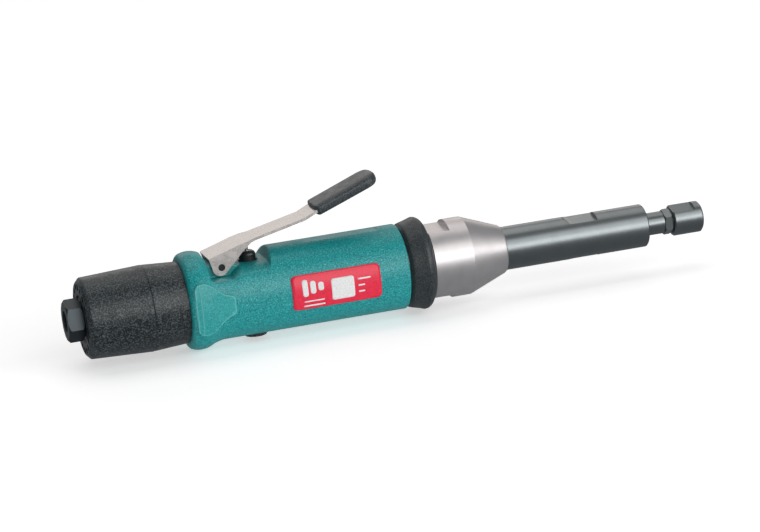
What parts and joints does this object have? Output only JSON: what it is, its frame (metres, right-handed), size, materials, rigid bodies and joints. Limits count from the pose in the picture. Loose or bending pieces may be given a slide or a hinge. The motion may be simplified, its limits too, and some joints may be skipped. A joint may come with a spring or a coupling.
{
  "type": "die grinder",
  "caption": "Hand-held air die grinder with a lever throttle, a long extension nose, a split collet, and rear exhaust.",
  "frame": {"origin": "centre of the air inlet's outer face, on the spindle axis", "axes": "+X along the spindle from the inlet to the collet, +Z towards the throttle lever, +Y completes the right-handed set"},
  "size_m": [0.3402, 0.0508, 0.0774],
  "materials": {
    "dark_steel": "dark oiled steel, satin",
    "bright_steel": "bright ground steel",
    "black_rubber": "matte",
    "black_plastic": "black moulded plastic with a fine grain",
    "felt": "dense pressed felt",
    "teal_composite": "teal moulded composite, lightly speckled and satin",
    "aluminium": "machined",
    "red_plate": "printed plate, satin gloss",
    "black_steel": "black oxide",
    "brass": "turned brass",
    "spring_steel": "tempered steel, satin",
    "nickel_steel": "bright nickel plate",
    "sleeve_rubber": "dipped rubber, fine orange peel",
    "ring_rubber": "moulded rubber, matte",
    "satin_collar": "satin turned metal",
    "blued_steel": "dark blued steel, turned",
    "cast_steel": "ground steel",
    "vane_laminate": "brown laminate",
    "bearing_steel": "polished bearing steel"
  },
  "bodies": {
    "housing": {"inlet_bushing": "dark_steel", "inlet_washer": "bright_steel", "inlet_screen": "bright_steel", "inlet_oring": "black_rubber", "exhaust_cap": "black_plastic", "muffler_felt": "felt", "cap_ring": "black_plastic", "grip_housing": "teal_composite", "metal_core": "aluminium", "name_plate": "red_plate", "valve_bushing": "black_steel", "valve_seat": "black_rubber", "lever_pin": "black_steel", "nose_ring": "ring_rubber", "nose_collar": "satin_collar", "extension_tube": "blued_steel", "motor_cylinder": "cast_steel", "rear_end_plate": "cast_steel", "front_end_plate": "cast_steel", "clamp_ring": "black_steel", "spindle_seal": "felt", "motor_rear_outer": "bearing_steel", "motor_front_outer": "bearing_steel", "spindle_rear_outer": "bearing_steel", "spindle_front_outer": "bearing_steel"},
    "lever": {"lever": "nickel_steel", "lever_sleeve": "sleeve_rubber"},
    "valve": {"valve_stem": "bright_steel", "valve_head": "brass", "valve_spring": "spring_steel"},
    "regulator": {"regulator": "black_plastic", "regulator_oring": "black_rubber"},
    "spindle": {"rotor": "bright_steel", "vane_1": "vane_laminate", "vane_2": "vane_laminate", "vane_3": "vane_laminate", "vane_4": "vane_laminate", "shaft_coupling": "black_steel", "extension_spindle": "bright_steel", "collet_holder": "blued_steel", "motor_rear_inner": "bearing_steel", "motor_front_inner": "bearing_steel", "spindle_rear_inner": "bearing_steel", "spindle_front_inner": "bearing_steel"},
    "collet": {"collet": "spring_steel"},
    "collet_nut": {"collet_nut": "blued_steel"},
    "motor_rear_balls": {"motor_rear_balls": "bearing_steel"},
    "motor_front_balls": {"motor_front_balls": "bearing_steel"},
    "spindle_rear_balls": {"spindle_rear_balls": "bearing_steel"},
    "spindle_front_balls": {"spindle_front_balls": "bearing_steel"}
  },
  "joints": [
    {"name": "lever_press", "type": "hinge", "parent": "housing", "child": "lever", "pos_m": [0.0806, 0, 0.0168], "axis": [0, 1, 0], "range_deg": [0, 11], "stiffness_Nm_per_rad": 1.2, "springref_deg": -14.32},
    {"name": "valve_push", "type": "slide", "parent": "housing", "child": "valve", "axis": [0, 0, -1], "range_m": [0, 0.004], "deforming": ["valve_spring"]},
    {"name": "regulator_turn", "type": "hinge", "parent": "housing", "child": "regulator", "pos_m": [0.0963, 0, -0.0155], "axis": [0, 0, 1], "range_deg": [-90, 90]},
    {"name": "spindle_spin", "type": "hinge", "parent": "housing", "child": "spindle", "pos_m": [0.16, 0, 0], "axis": [1, 0, 0], "continuous": true},
    {"name": "collet_draw", "type": "slide", "parent": "spindle", "child": "collet", "axis": [1, 0, 0], "range_m": [0, 0.0025]},
    {"name": "collet_nut_turn", "type": "hinge", "parent": "collet", "child": "collet_nut", "pos_m": [0.333, 0, 0], "axis": [1, 0, 0], "range_deg": [0, 720]},
    {"name": "motor_rear_roll", "type": "hinge", "parent": "housing", "child": "motor_rear_balls", "pos_m": [0.1136, 0, 0], "axis": [1, 0, 0], "continuous": true},
    {"name": "motor_front_roll", "type": "hinge", "parent": "housing", "child": "motor_front_balls", "pos_m": [0.1596, 0, 0], "axis": [1, 0, 0], "continuous": true},
    {"name": "spindle_rear_roll", "type": "hinge", "parent": "housing", "child": "spindle_rear_balls", "pos_m": [0.2074, 0, 0], "axis": [1, 0, 0], "continuous": true},
    {"name": "spindle_front_roll", "type": "hinge", "parent": "housing", "child": "spindle_front_balls", "pos_m": [0.3024, 0, 0], "axis": [1, 0, 0], "continuous": true}
  ],
  "couplings": [
    {"joint": "valve_push", "follows": "lever_press", "m_per_rad": 0.0168},
    {"joint": "collet_draw", "follows": "collet_nut_turn", "m_per_rad": 0.00015915},
    {"joint": "motor_rear_roll", "follows": "spindle_spin", "ratio": 0.3757},
    {"joint": "motor_front_roll", "follows": "spindle_spin", "ratio": 0.41},
    {"joint": "spindle_rear_roll", "follows": "spindle_spin", "ratio": 0.4033},
    {"joint": "spindle_front_roll", "follows": "spindle_spin", "ratio": 0.4033}
  ]
}
